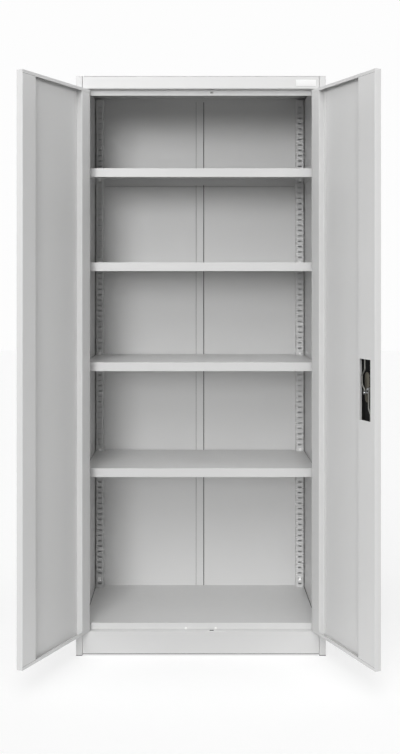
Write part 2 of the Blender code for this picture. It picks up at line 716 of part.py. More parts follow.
def rounded_bar(name, middle, half_run, radius, y0, y1, mat, rounding, end_radius=None, rounded=None):
    """A flat bar with half-round ends in the door's plane, tapering when its ends are narrower.

    The rim at the depth called rounded gets the rounding, or both rims when none is named.
    """
    cx, cz = middle
    along = Vector(half_run)
    end_radius = radius if end_radius is None else end_radius
    heading = math.atan2(along.y, along.x)
    lean = math.asin((radius - end_radius) / along.length) if end_radius < radius else 0.0
    sweep = math.radians(180.0) - lean * 2
    steps = ROUND_SIDES // 2
    outline = []
    for turn in (0.0, math.radians(180.0)):
        direction = heading + turn
        centre = Vector((math.cos(direction), math.sin(direction))) * along.length
        for k in range(steps + 1):
            angle = direction - sweep / 2 + sweep * k / steps
            outline.append(centre + Vector((math.cos(angle), math.sin(angle))) * end_radius)
        if lean > 0.0:
            outline.append(Vector((math.cos(direction + math.radians(90.0)),
                                   math.sin(direction + math.radians(90.0)))) * radius)
    bm = bmesh.new()
    front = bm.faces.new([bm.verts.new((cx + p.x, y0, cz + p.y)) for p in outline])
    pushed = bmesh.ops.extrude_face_region(bm, geom=[front])
    moved = [g for g in pushed["geom"] if isinstance(g, bmesh.types.BMVert)]
    bmesh.ops.translate(bm, vec=(0.0, y1 - y0, 0.0), verts=moved)
    bmesh.ops.recalc_face_normals(bm, faces=bm.faces)
    if rounding > 0.0:
        rims = [e for e in bm.edges if abs(e.verts[0].co.y - e.verts[1].co.y) < GAP / 10]
        if rounded is not None:
            rims = [e for e in rims if abs(e.verts[0].co.y - rounded) < GAP / 10]
        bmesh.ops.bevel(bm, geom=rims, offset=rounding, segments=2, affect='EDGES', profile=0.5)
    obj = add_object(name, bm, mat)
    shade_round(obj)
    return obj


def turn_handle():
    """Hub, tapered cross grip and spindle in one casting; the grip is upright while the rods are drawn in."""
    name = "turn_handle"
    back = -GAP - PLATE_T - GAP
    obj = cylinder(name, (LOCK_X, back, LOCK_Z), (0, -1, 0), HUB_T, HUB_R, black_plastic(name), rounding=HUB_ROUND)
    grip_y = back - HUB_T + HUB_ROUND * 2
    grip = rounded_bar("add_grip", (LOCK_X, LOCK_Z), (0.0, GRIP_L / 2 - GRIP_END_W / 2), GRIP_W / 2,
                       grip_y, grip_y + GRIP_T, None, GRIP_ROUND, end_radius=GRIP_END_W / 2)
    boolean(obj, grip, 'UNION')
    reach = CAM_Y + CAM_T - back
    root = HUB_T - BARREL_DEPTH - GAP * 2
    spindle = cylinder("add_spindle", (LOCK_X, back + reach, LOCK_Z), (0, -1, 0), reach + root / 2, SPINDLE_R, None)
    boolean(obj, spindle, 'UNION')
    cut_round(obj, "cut_barrel", (LOCK_X, back - HUB_T + BARREL_DEPTH, LOCK_Z), (0, -1, 0),
              BARREL_DEPTH + OVERRUN, BARREL_R + GAP)
    shade_round(obj)
    return obj


def lock_barrel():
    name = "lock_barrel"
    front = -GAP - PLATE_T - GAP - HUB_T
    obj = cylinder(name, (LOCK_X, front + BARREL_DEPTH - GAP, LOCK_Z), (0, -1, 0),
                   BARREL_DEPTH - GAP + BARREL_T / 2, BARREL_R, brass(name), rounding=GAP)
    keyway = ((LOCK_X - KEYWAY_W / 2, front - OVERRUN, LOCK_Z - KEYWAY_L / 2),
              (LOCK_X + KEYWAY_W / 2, front - BARREL_T / 2 + KEYWAY_DEEP, LOCK_Z + KEYWAY_L / 2))
    return cut_boxes(obj, "cut_keyway", [keyway])


def crank_point(upper, turn_deg=0.0):
    """Where a crank pin stands; a turn of 0 is the rest position with the rods drawn in."""
    angle = math.radians(CRANK_REST_DEG + turn_deg + (0.0 if upper else 180.0))
    return (LOCK_X + CRANK_R * math.cos(angle), LOCK_Z + CRANK_R * math.sin(angle))


def lock_cam():
    """Double crank on the spindle with a pin for each rod."""
    name = "lock_cam"
    angle = math.radians(CRANK_REST_DEG)
    run = (CRANK_R * math.cos(angle), CRANK_R * math.sin(angle))
    obj = rounded_bar(name, (LOCK_X, LOCK_Z), run, CAM_W / 2, CAM_Y, CAM_Y + CAM_T, zinc(name), 0.0)
    hub = cylinder("add_cam_hub", (LOCK_X, CAM_Y, LOCK_Z), (0, 1, 0), CAM_T, CAM_HUB_R, None)
    boolean(obj, hub, 'UNION')
    for upper, tag in ((True, "upper"), (False, "lower")):
        x, z = crank_point(upper)
        pin = cylinder("add_crank_" + tag, (x, CAM_Y + CAM_T / 2, z), (0, 1, 0),
                       CAM_T / 2 + CRANK_PIN_L, CRANK_PIN_R, None, sides=PIN_SIDES)
        boolean(obj, pin, 'UNION')
    cut_round(obj, "cut_cam_bore", (LOCK_X, CAM_Y - OVERRUN, LOCK_Z), (0, 1, 0),
              CAM_T + OVERRUN * 2, SPINDLE_R + GAP)
    shade_round(obj)
    return obj


def rod_line(upper, x, root):
    """Route of a rod from its eye to its tip, as (x, z) corners."""
    if not upper:
        jog = root - ROD_LOW_DROP
        return [(x, root), (x, jog), (ROD_X, jog - ROD_LOW_JOG), (ROD_X, DOOR_BOTTOM_Z + ROD_TIP_INSET)]
    out = x + ROD_SWELL
    neck = root + ROD_SWELL_HIGH
    jog = LOCK_WINDOW_Z1 + ROD_JOG_L / 2
    return [(x, root), (x, root + ROD_SWELL_RUN / 4), (out, root + ROD_SWELL_LOW), (out, neck),
            (ROD_NECK_X, neck + ROD_SWELL_RUN), (ROD_NECK_X, jog), (ROD_X, jog + ROD_JOG_L),
            (ROD_X, DOOR_TOP_Z - ROD_TIP_INSET)]


def lock_rod(upper):
    """Round rod, cranked over to the door's rod line, with a flat eye for its crank pin."""
    name = "upper_lock_rod" if upper else "lower_lock_rod"
    away = 1.0 if upper else -1.0
    x, z = crank_point(upper)
    inner, _ = crank_point(upper, CRANK_TURN_DEG)
    outer = LOCK_X + away * CRANK_R
    middle = (inner + outer) / 2
    reach = abs(outer - inner) / 2 + CRANK_PIN_R + EYE_SIDE_CLEAR
    tall = CRANK_PIN_R + EYE_SLOT_CLEAR
    path = folded_line(rod_line(upper, x, z + away * (tall + ROD_EYE_WALL / 2)), ROD_BEND, ROD_BEND_STEPS)
    curve = bpy.data.curves.new(name, 'CURVE')
    curve.dimensions = '3D'
    curve.bevel_depth = ROD_R
    curve.bevel_resolution = ROD_SIDES_LEVEL
    curve.use_fill_caps = True
    spline = curve.splines.new('POLY')
    spline.points.add(len(path[1:]))
    for point, (at, _) in zip(spline.points, path):
        point.co[:3] = (at.x, ROD_Y, at.y)
    maker = bpy.data.objects.new("rod_line", curve)
    bpy.context.scene.collection.objects.link(maker)
    bpy.context.view_layer.update()
    mesh = bpy.data.meshes.new_from_object(maker.evaluated_get(bpy.context.evaluated_depsgraph_get()))
    bpy.data.objects.remove(maker, do_unlink=True)
    bpy.data.curves.remove(curve)
    bm = bmesh.new()
    bm.from_mesh(mesh)
    bpy.data.meshes.remove(mesh)
    bmesh.ops.remove_doubles(bm, verts=bm.verts, dist=GAP / 10)
    obj = add_object(name, bm, zinc(name))
    eye_y = ROD_Y + away * ROD_EYE_STEP - ROD_EYE_T / 2
    wide = reach + ROD_EYE_WALL
    high = tall + ROD_EYE_WALL
    eye = box("add_eye_" + name, (middle - wide, eye_y, z - high), (middle + wide, eye_y + ROD_EYE_T, z + high),
              None, rounding=ROD_EYE_ROUND)
    boolean(obj, eye, 'UNION')
    slot = ((middle - reach, eye_y - OVERRUN, z - tall), (middle + reach, eye_y + ROD_EYE_T + OVERRUN, z + tall))
    cut_boxes(obj, "cut_eye_" + name, [slot])
    shade_round(obj)
    return obj


def rod_guide(upper):
    name = "upper_rod_guide" if upper else "lower_rod_guide"
    z = DOOR_TOP_Z - ROD_GUIDE_OFF if upper else DOOR_BOTTOM_Z + ROD_GUIDE_OFF
    wide, deep, tall = ROD_GUIDE_SIZE
    obj = box(name, (ROD_X - wide / 2, SHEET + GAP, z - tall / 2), (ROD_X + wide / 2, SHEET + GAP + deep, z + tall / 2),
              grey_plastic(name), rounding=SHEET, segments=2)
    return cut_round(obj, "cut_" + name, (ROD_X, ROD_Y, z - tall / 2 - OVERRUN), (0, 0, 1),
                     tall + OVERRUN * 2, ROD_HOLE_R, PIN_SIDES)


# placing
def swing(objects, side, pin_points):
    """Move closed door pieces to the open position about the door's pins."""
    turn = math.radians(-LEFT_OPEN_DEG if side < 0 else RIGHT_OPEN_DEG)
    pivot = Vector((side * PIVOT_X, PIVOT_Y, 0.0))
    spin = Matrix.Rotation(turn, 4, 'Z')
    for obj in objects:
        origin = Vector(pin_points.get(obj.name, (pivot.x, pivot.y, DOOR_BOTTOM_Z)))
        obj.data.transform(Matrix.Translation(-origin))
        obj.matrix_world = Matrix.Translation(pivot) @ spin @ Matrix.Translation(origin - pivot)


def with_helpers(objects):
    """The objects together with the hidden shapes their modifiers use."""
    found = []
    for obj in objects:
        found.append(obj)
        for mod in obj.modifiers:
            if mod.type == 'BOOLEAN' and mod.object not in found:
                found.append(mod.object)
    return found


def stand_on_base_centre():
    """Shift everything so that the origin is the middle of the whole object's base."""
    bpy.context.view_layer.update()
    corners = []
    for obj in bpy.context.scene.objects:
        if not obj.hide_render:
            corners += [obj.matrix_world @ v.co for v in obj.data.vertices]
    low = [min(c[k] for c in corners) for k in range(3)]
    high = [max(c[k] for c in corners) for k in range(3)]
    middle = [round((a + b) / 2 / PLACE_STEP) * PLACE_STEP for a, b in zip(low, high)]
    shift = Vector((-middle[0], -middle[1], -low[2]))
    for obj in bpy.context.scene.objects:
        obj.matrix_world = Matrix.Translation(shift) @ obj.matrix_world


def build_carcass():
    for side in (-1, 1):
        side_panel(side)
        inner_wall(side)
        rear_upright(side)
        back_panel(side)
        foot(side, True)
        foot(side, False)
        hinge_pin(side, True)
        hinge_pin(side, False)
        door_buffer(side)
    header_rail()
    plinth()
    floor_panel()
    roof_panel()
    back_strip()


def build_shelves():
    for index, step in enumerate(reversed(SHELF_STEPS)):
        number = index + 1
        top = shelf_height(step)
        shelf(number, top)
        for side in (-1, 1):
            stem = "shelf_" + str(number) + "_" + SIDE_NAMES[side]
            rear_clip(stem + "_rear_clip", side, top)
            front_clip(stem + "_front_clip", side, top)
    for side in (-1, 1):
        rear_clip(SIDE_NAMES[side] + "_spare_clip", side, shelf_height(PARKED_STEP))


def build_doors():
    left = [door_pan(-1), edge_channel(-1), hinge_channel(-1)]
    swing(with_helpers(left), -1, {})
    right = [door_pan(1), edge_channel(1), hinge_channel(1)]
    right += [lock_case(), handle_plate(), rod_guide(True), rod_guide(False)]
    handle, cam, barrel = turn_handle(), lock_cam(), lock_barrel()
    rods = [lock_rod(True), lock_rod(False)]
    spindle = (LOCK_X, 0.0, LOCK_Z)
    rod_line = (ROD_X, ROD_Y, LOCK_Z)
    origins = {}
    for obj in (handle, cam, barrel):
        origins[obj.name] = spindle
    for obj in rods:
        origins[obj.name] = rod_line
    swing(with_helpers(right + [handle, cam, barrel] + rods), 1, origins)


clear_scene()
build_carcass()
build_shelves()
build_doors()
stand_on_base_centre()
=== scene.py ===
"""Looks of the two-door steel cabinet: finishes, small fittings, camera and studio."""
import json
import math

import bpy
from mathutils import Matrix, Vector


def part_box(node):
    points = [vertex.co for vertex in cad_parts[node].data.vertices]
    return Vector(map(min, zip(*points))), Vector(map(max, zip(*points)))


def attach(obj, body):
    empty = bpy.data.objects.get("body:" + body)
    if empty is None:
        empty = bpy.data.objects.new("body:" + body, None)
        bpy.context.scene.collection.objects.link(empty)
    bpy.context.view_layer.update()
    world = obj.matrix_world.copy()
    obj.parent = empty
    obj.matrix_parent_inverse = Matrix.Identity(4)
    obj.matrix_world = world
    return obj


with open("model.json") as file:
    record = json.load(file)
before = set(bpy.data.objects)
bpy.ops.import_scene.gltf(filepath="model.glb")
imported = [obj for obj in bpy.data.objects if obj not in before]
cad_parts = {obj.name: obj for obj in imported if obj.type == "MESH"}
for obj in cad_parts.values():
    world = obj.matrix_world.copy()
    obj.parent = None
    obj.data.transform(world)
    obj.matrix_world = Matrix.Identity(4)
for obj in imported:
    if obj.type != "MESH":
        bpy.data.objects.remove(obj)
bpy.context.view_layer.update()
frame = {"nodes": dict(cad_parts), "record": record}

# places, in metres: fittings are built in the cabinet's own frame with its doors closed,
# x from its middle, y backwards from the roof's front edge, z up from the ground
ROOF_LOW, ROOF_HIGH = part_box("roof_panel")
BASE_SHIFT = Vector(((ROOF_LOW.x + ROOF_HIGH.x) / 2, ROOF_LOW.y, 0.0))
SIDES = {-1: "left", 1: "right"}


def own_box(node):
    """Lowest and highest corner of a cabinet node in the cabinet's own frame."""
    low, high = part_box(node)
    return low - BASE_SHIFT, high - BASE_SHIFT


STRIP_LOW, STRIP_HIGH = own_box("back_joint_strip")
PLINTH_LOW, PLINTH_HIGH = own_box("plinth")
FLOOR_TOP = own_box("floor_panel")[1].z
SHELVES = {name: own_box(name) for name in ("shelf_1", "shelf_2", "shelf_3", "shelf_4")}
BACK_FACE_Y = own_box("back_panel_left")[0].y
INNER_WALL_X = own_box("right_inner_wall")[0].x

# doors
PIVOT_X = 0.3721
PIVOT_Y = 0.0045
OPEN_DEG = {-1: -115.4, 1: 112.2}

# blank plate on the header rail
PLATE_LOW = (0.3046, -0.0009, 1.8240)
PLATE_HIGH = (0.3685, 0.0001, 1.8440)
PLATE_EDGE = 0.0004

# painted shadow lines: near-black strips laid in joints and gaps where shade falls, each a gap away from
# the sheet that it lies against
LINE_GAP = 0.0001
LINE_EDGE = 0.0001
STRIP_STEP_X = 0.0131
STRIP_LINE_WIDTH = {-1: 0.0008, 1: 0.0021}
STRIP_LINE_DEPTH = 0.0018
STRIP_LINE_ENDS = (0.0003, -0.0024)
PLINTH_LINE_INSET = 0.0005
PLINTH_LINE_Y = (0.0022, 0.0040)
PLINTH_LINE_HEIGHT = 0.0010
SHELVES_SEEN_FROM_BELOW = ("shelf_1", "shelf_2")
SHELF_REAR_LINE_X = 0.3400
SHELF_REAR_LINE_Y = (-0.0012, -0.0002)
SHELF_REAR_LINE_HEIGHT = 0.0005
SHELF_SIDE_LINE_WIDTH = 0.00085
SHELF_SIDE_LINE_FRONT = 0.0660
SHELF_SIDE_LINE_Z = (-0.0200, -0.0012)
FLOOR_SIDE_LINE_WIDTH = 0.0012
FLOOR_SIDE_LINE_FRONT = 0.0600
FLOOR_SIDE_LINE_HEIGHT = 0.0009
SIDE_LINE_REAR = 0.4050

# painted shadow lines at the ends of the doors' edge channels, and along the right hinge channel
CHANNEL_START = 0.0020
CHANNEL_END = {-1: 0.0700, 1: 0.0940}
CHANNEL_LINE_Y = (0.0202, 0.0206)
CHANNEL_LINE_Z = {"top": 1.8023, "foot": 0.0879}
CHANNEL_LINE_HEIGHT = 0.0005
HINGE_CHANNEL_LINE_LOW = (0.3288, 0.0009, 0.0890)
HINGE_CHANNEL_LINE_HIGH = (0.3297, 0.0018, 1.8015)

# cover at the foot of the joint between the back sheets
COVER_HALF_WIDTH = 0.0120
COVER_THICKNESS = 0.0011
COVER_Z = (0.0075, 0.0765)
COVER_EDGE = 0.0003

# lock
RIM_LOW = Vector((0.0216, 0.0078, 0.7881))
RIM_HIGH = Vector((0.0904, 0.0105, 0.9774))
RIM_WALL = 0.0022
RIM_CUT_PAST = (0.0008, 0.0015)
RIM_EDGE = 0.0003
BODY_CENTRE = Vector((0.0615, 0.00977, 0.8900))
BODY_RADIUS = 0.0125
BODY_THICKNESS = 0.0007
BODY_STRETCH = 0.0320
BODY_EDGE = 0.00025
CAM_CENTRE = Vector((0.0560, 0.0177, 0.8800))
CRANK_ARM = 0.0125
PIN_ANGLES = (-28.0, 152.0)
PIN_HEAD_RADIUS = 0.0027
PIN_HEAD_THICKNESS = 0.0012
PIN_HEAD_EDGE = 0.0005

# cup under the plinth's rod slot
CUP_LOW = Vector((0.0262, 0.0050, 0.0500))
CUP_HIGH = Vector((0.0438, 0.0246, 0.0761))
CUP_WALL = 0.0015
CUP_CUT_PAST = 0.0019
CUP_EDGE = 0.0003

# camera, fitted to the photo's edges in the cabinet's own frame
CAMERA_PLACE = Vector((-0.0283, -3.3524, 1.2145))
LENS_MM = 50.0
SENSOR_MM = 36.0
LENS_SHIFT = (0.0106, -0.1334)

# studio: lamps by azimuth and elevation in degrees, strength, and width in degrees;
# azimuth 0 shines from the camera's side, and a negative one from its left
LAMPS = {
    "low_from_front": (-9.0, 9.0, 1.01, 22.0),
    "key_from_front": (-7.0, 36.0, 0.92, 30.0),
    "top_from_front": (-5.0, 64.0, 1.05, 50.0),
    "side_from_left": (-75.0, 12.0, 1.22, 30.0),
    "side_from_right": (75.0, 12.0, 1.10, 30.0),
    "fill_from_back": (165.0, 22.0, 0.60, 60.0),
}
LAMP_DISTANCE = 4.0
WORLD_LIGHT = 0.05
WORLD_SEEN = 0.983
GROUND_RADIUS = 14.0
GROUND_GREY = 0.41
GROUND_SEEN = 0.63
GROUND_ROUGHNESS = 0.9
WHITE = (1.0, 1.0, 1.0, 1.0)

# finishes: linear colours, pattern scales per metre, relief depths in metres,
# and a grain that is stretched along the axis with the small number
PAINT = (0.655, 0.655, 0.652)
NOISE_LOW, NOISE_HIGH = 0.3, 0.7
CLOUD_SCALE = 3.5
WEAR_SCALE = 45.0
PEEL_DEPTH = 0.0004
STREAK_DEPTH = 0.0002
STREAK_BUMP = 0.08
STREAK_SHADE = 0.86
ROUND_GRAIN = (1.0, 1.0, 1.0)
UPRIGHT_GRAIN = (1.0, 1.0, 0.08)


# shader parts
def new_group(name, inputs, outputs):
    group = bpy.data.node_groups.new(name, "ShaderNodeTree")
    for label, kind, value in inputs:
        socket = group.interface.new_socket(label, in_out="INPUT", socket_type=kind)
        socket.default_value = value
    for label, kind in outputs:
        group.interface.new_socket(label, in_out="OUTPUT", socket_type=kind)
    group.nodes.new("NodeGroupInput").name = "In"
    group.nodes.new("NodeGroupOutput").name = "Out"
    return group


def feed(tree, socket, value):
    """Give a socket a number, or link it to another node's output."""
    if isinstance(value, (int, float)):
        socket.default_value = value
    else:
        tree.links.new(value, socket)


def add_noise(tree, coordinates, scale, detail, roughness=0.5):
    noise = tree.nodes.new("ShaderNodeTexNoise")
    noise.inputs["Detail"].default_value = detail
    noise.inputs["Roughness"].default_value = roughness
    feed(tree, noise.inputs["Scale"], scale)
    tree.links.new(coordinates, noise.inputs["Vector"])
    return noise.outputs["Fac"]


def add_range(tree, value, low, high, out_low, out_high):
    node = tree.nodes.new("ShaderNodeMapRange")
    feed(tree, node.inputs["From Min"], low)
    feed(tree, node.inputs["From Max"], high)
    feed(tree, node.inputs["To Min"], out_low)
    feed(tree, node.inputs["To Max"], out_high)
    tree.links.new(value, node.inputs["Value"])
    return node.outputs["Result"]


def add_math(tree, operation, first, second):
    node = tree.nodes.new("ShaderNodeMath")
    node.operation = operation
    feed(tree, node.inputs[0], first)
    feed(tree, node.inputs[1], second)
    return node.outputs["Value"]


def add_bump(tree, shader, height, strength, depth):
    relief = tree.nodes.new("ShaderNodeBump")
    relief.inputs["Strength"].default_value = strength
    relief.inputs["Distance"].default_value = depth
    tree.links.new(height, relief.inputs["Height"])
    tree.links.new(relief.outputs["Normal"], shader.inputs["Normal"])


def scaled_colour(tree, colour, factor):
    node = tree.nodes.new("ShaderNodeVectorMath")
    node.operation = "SCALE"
    tree.links.new(colour, node.inputs[0])
    tree.links.new(factor, node.inputs["Scale"])
    return node.outputs["Vector"]


def seen_or_mirrored(tree):
    """1 for a ray from the camera or from a mirroring surface, else 0."""
    rays = tree.nodes.new("ShaderNodeLightPath").outputs
    return add_math(tree, "MAXIMUM", rays["Is Camera Ray"], rays["Is Glossy Ray"])


def new_material(name):
    material = bpy.data.materials.new(name)
    material.use_nodes = True
    return material, material.node_tree, material.node_tree.nodes["Principled BSDF"]


def coated_skin():
    """Colour, roughness and orange peel of a baked coat, or the grain of a moulded skin."""
    inputs = [("Colour", "NodeSocketColor", (0.6, 0.6, 0.6, 1.0)),
              ("Peel Scale", "NodeSocketFloat", 800.0),
              ("Cloud", "NodeSocketFloat", 0.02),
              ("Rough Low", "NodeSocketFloat", 0.4),
              ("Rough High", "NodeSocketFloat", 0.5)]
    outputs = [("Colour", "NodeSocketColor"),
               ("Roughness", "NodeSocketFloat"),
               ("Height", "NodeSocketFloat")]
    group = new_group("coated_skin", inputs, outputs)
    start, end = group.nodes["In"], group.nodes["Out"]
    place = group.nodes.new("ShaderNodeTexCoord").outputs["Object"]
    cloud = add_noise(group, place, CLOUD_SCALE, 3.0)
    darkest = add_math(group, "SUBTRACT", 1.0, start.outputs["Cloud"])
    factor = add_range(group, cloud, NOISE_LOW, NOISE_HIGH, darkest, 1.0)
    group.links.new(scaled_colour(group, start.outputs["Colour"], factor), end.inputs["Colour"])
    wear = add_noise(group, place, WEAR_SCALE, 4.0, 0.6)
    rough = add_range(group, wear, NOISE_LOW, NOISE_HIGH,
                      start.outputs["Rough Low"], start.outputs["Rough High"])
    group.links.new(rough, end.inputs["Roughness"])
    peel = add_noise(group, place, start.outputs["Peel Scale"], 2.0)
    group.links.new(peel, end.inputs["Height"])
    return group


SKIN = coated_skin()


def coated_material(name, colour, peel, cloud, rough, bump, shine=None):
    """Paint or moulded plastic; shine sets the shader's own sockets by name."""
    material, tree, shader = new_material(name)
    coat = tree.nodes.new("ShaderNodeGroup")
    coat.node_tree = SKIN
    coat.inputs["Colour"].default_value = (*colour, 1.0)
    coat.inputs["Peel Scale"].default_value = peel
    coat.inputs["Cloud"].default_value = cloud
    coat.inputs["Rough Low"].default_value, coat.inputs["Rough High"].default_value = rough
    tree.links.new(coat.outputs["Colour"], shader.inputs["Base Color"])
    tree.links.new(coat.outputs["Roughness"], shader.inputs["Roughness"])
    add_bump(tree, shader, coat.outputs["Height"], bump, PEEL_DEPTH)
    for label, value in (shine or {}).items():
        shader.inputs[label].default_value = value
    return material


def metal_material(name, colour, streak_scale, rough, grain):
    """Plated or turned metal with fine streaks along its grain."""
    material, tree, shader = new_material(name)
    shader.inputs["Metallic"].default_value = 1.0
    place = tree.nodes.new("ShaderNodeTexCoord").outputs["Object"]
    mapping = tree.nodes.new("ShaderNodeMapping")
    mapping.inputs["Scale"].default_value = grain
    tree.links.new(place, mapping.inputs["Vector"])
    streaks = add_noise(tree, mapping.outputs["Vector"], streak_scale, 4.0)
    ramp = tree.nodes.new("ShaderNodeValToRGB")
    dark, bright = ramp.color_ramp.elements
    dark.position, bright.position = NOISE_LOW, NOISE_HIGH
    dark.color = (*[channel * STREAK_SHADE for channel in colour], 1.0)
    bright.color = (*colour, 1.0)
    tree.links.new(streaks, ramp.inputs["Fac"])
    tree.links.new(ramp.outputs["Color"], shader.inputs["Base Color"])
    tree.links.new(add_range(tree, streaks, NOISE_LOW, NOISE_HIGH, *rough), shader.inputs["Roughness"])
    add_bump(tree, shader, streaks, STREAK_BUMP, STREAK_DEPTH)
    return material


# materials, by the slot or the own finish that uses them
def powder_coat(name):
    return coated_material(name, PAINT, peel=900.0, cloud=0.015, rough=(0.3, 0.37), bump=0.12)


FINISH = {
    "cabinet_paint": powder_coat("cabinet_powder_coat"),
    "shelf_paint": powder_coat("shelf_powder_coat"),
    "door_paint": powder_coat("door_powder_coat"),
    "clip_plastic": coated_material(
        "white_nylon", (0.93, 0.93, 0.92), peel=1400.0, cloud=0.02, rough=(0.16, 0.26), bump=0.05,
        shine={"Specular IOR Level": 0.9, "Coat Weight": 1.0, "Coat Roughness": 0.12}),
    "foot_plastic": coated_material(
        "dark_grey_plastic", (0.10, 0.10, 0.10), peel=1100.0, cloud=0.05, rough=(0.5, 0.62), bump=0.2),
    "black_plastic": coated_material(
        "black_moulding", (0.016, 0.016, 0.017), peel=1500.0, cloud=0.1, rough=(0.35, 0.5), bump=0.15),
    "zinc_steel": metal_material(
        "bright_zinc", (0.70, 0.71, 0.73), streak_scale=160.0, rough=(0.22, 0.36), grain=UPRIGHT_GRAIN),
    "brass": metal_material(
        "nickelled_barrel", (0.74, 0.70, 0.60), streak_scale=220.0, rough=(0.18, 0.3), grain=ROUND_GRAIN),
    "plate_enamel": coated_material(
        "badge_enamel", (0.86, 0.86, 0.86), peel=700.0, cloud=0.01, rough=(0.55, 0.65), bump=0.05,
        shine={"Specular IOR Level": 0.2}),
    "case_black": coated_material(
        "lock_case_moulding", (0.006, 0.006, 0.006), peel=1500.0, cloud=0.1, rough=(0.6, 0.72), bump=0.1,
        shine={"Specular IOR Level": 0.15}),
    # painted shade: near-black finish of the thin strips that stand in for shadow in joints and gaps
    "painted_shade_black": coated_material(
        "joint_shadow", (0.008, 0.008, 0.008), peel=1500.0, cloud=0.1, rough=(0.7, 0.8), bump=0.05,
        shine={"Specular IOR Level": 0.1}),
    "dull_zinc": metal_material(
        "dull_zinc_rod", (0.15, 0.15, 0.14), streak_scale=160.0, rough=(0.42, 0.55), grain=UPRIGHT_GRAIN),
    "bronzed_zinc": metal_material(
        "bronzed_lock_body", (0.15, 0.14, 0.115), streak_scale=90.0, rough=(0.45, 0.6), grain=ROUND_GRAIN),
}
OWN_FINISH = {"lock_case": "case_black", "upper_lock_rod": "dull_zinc", "lower_lock_rod": "dull_zinc"}


def dress_frame():
    """Give each node its slot's material, or its own where it looks different."""
    slots = {part["node"]: part["material_slot"] for part in frame["record"]["subparts"]}
    for name, node in frame["nodes"].items():
        node.data.materials.clear()
        node.data.materials.append(FINISH[OWN_FINISH.get(name, slots[name])])


# modelling
def only(obj):
    bpy.ops.object.select_all(action="DESELECT")
    obj.select_set(True)
    bpy.context.view_layer.objects.active = obj


def name_and_apply(name):
    """Name the piece just added, and move its place and size into its mesh."""
    obj = bpy.context.active_object
    obj.name = obj.data.name = name
    bpy.ops.object.transform_apply(location=True, rotation=True, scale=True)
    return obj


def block(name, low, high):
    """A box between two corners."""
    bpy.ops.object.select_all(action="DESELECT")
    low, high = Vector(low), Vector(high)
    bpy.ops.mesh.primitive_cube_add(size=1.0, location=(low + high) / 2)
    bpy.context.active_object.scale = high - low
    return name_and_apply(name)


def disc(name, centre, radius, thickness, vertices):
    """A flat round piece that faces the front."""
    bpy.ops.object.select_all(action="DESELECT")
    bpy.ops.mesh.primitive_cylinder_add(vertices=vertices, radius=radius, depth=thickness,
                                        location=centre, rotation=(math.radians(90.0), 0.0, 0.0))
    return name_and_apply(name)


def soften(obj, width, segments=3):
    """Round the sharp edges, then shade the rest smooth."""
    bevel = obj.modifiers.new("soft_edges", "BEVEL")
    bevel.width = width
    bevel.segments = segments
    bevel.limit_method = "ANGLE"
    bevel.angle_limit = math.radians(30.0)
    only(obj)
    bpy.ops.object.modifier_apply(modifier=bevel.name)
    bpy.ops.object.shade_smooth_by_angle(angle=math.radians(35.0))


def hollow_out(obj, low, high):
    """Cut a box-shaped hollow out of a piece."""
    hollow = block("hollow", low, high)
    cut = obj.modifiers.new("hollow", "BOOLEAN")
    cut.operation = "DIFFERENCE"
    cut.solver = "EXACT"
    cut.object = hollow
    only(obj)
    bpy.ops.object.modifier_apply(modifier=cut.name)
    only(hollow)
    bpy.ops.object.delete()


def stretch_upright(obj, level, length):
    """Move what lies above a level up, and what lies below it down."""
    middle_band = 0.0005
    for way in (-1.0, 1.0):
        for kind in (obj.data.vertices, obj.data.edges, obj.data.polygons):
            for item in kind:
                item.select = False
        for vertex in obj.data.vertices:
            vertex.select = way * (vertex.co.z - level) > middle_band
        bpy.ops.object.mode_set(mode="EDIT")
        bpy.ops.mesh.select_mode(type="VERT")
        bpy.ops.transform.translate(value=(0.0, 0.0, way * length))
        bpy.ops.object.mode_set(mode="OBJECT")


def settle(obj, body, slot, door=0, finish=None):
    """Move a finished piece from the closed cabinet's frame to its place, then let it ride."""
    place = Matrix.Translation(BASE_SHIFT)
    if door:
        pivot = Vector((door * PIVOT_X, PIVOT_Y, 0.0))
        turn = Matrix.Rotation(math.radians(OPEN_DEG[door]), 4, "Z")
        place = place @ Matrix.Translation(pivot) @ turn @ Matrix.Translation(-pivot)
    only(obj)
    obj.matrix_world = place
    bpy.ops.object.transform_apply(location=True, rotation=True, scale=True)
    obj.data.materials.clear()
    obj.data.materials.append(FINISH[finish or slot])
    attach(obj, body)


# fittings
def maker_plate():
    """Blank plate on the right end of the header rail."""
    plate = block("header_blank_plate", PLATE_LOW, PLATE_HIGH)
    soften(plate, PLATE_EDGE)
    settle(plate, "cabinet", "clip_plastic", finish="plate_enamel")


def painted_shade_strip(name, low, high, body="cabinet", door=0):
    """Narrow near-black strip of painted shadow where one folded sheet lies against another."""
    line = block(name, low, high)
    soften(line, LINE_EDGE, 1)
    settle(line, body, "black_plastic", door=door, finish="painted_shade_black")


def side_painted_shade_strip(name, side, start_x, end_x, y, z):
    """Painted shadow strip on one side of the middle, between two distances from it."""
    near, far = sorted((side * start_x, side * end_x))
    painted_shade_strip(name, (near, y[0], z[0]), (far, y[1], z[1]))


def back_strip_shadow_strips():
    """Painted shadow lines beside the strip over the joint of the back sheets, the wider one on the right,
    where the strip's edge casts its shade.
    """
    rear = BACK_FACE_Y - LINE_GAP
    y = (rear - STRIP_LINE_DEPTH, rear)
    z = (STRIP_LOW.z + STRIP_LINE_ENDS[0], STRIP_HIGH.z + STRIP_LINE_ENDS[1])
    for side in (1, -1):
        end = STRIP_STEP_X + STRIP_LINE_WIDTH[side]
        side_painted_shade_strip("back_strip_seam_" + SIDES[side], side, STRIP_STEP_X, end, y, z)


def plinth_shadow_strip():
    """Painted contact shadow along the plinth's lower edge."""
    top = PLINTH_LOW.z - LINE_GAP
    reach = PLINTH_HIGH.x - PLINTH_LINE_INSET
    front, rear = PLINTH_LINE_Y
    painted_shade_strip("plinth_foot_painted_shadow", (-reach, front, top - PLINTH_LINE_HEIGHT), (reach, rear, top))


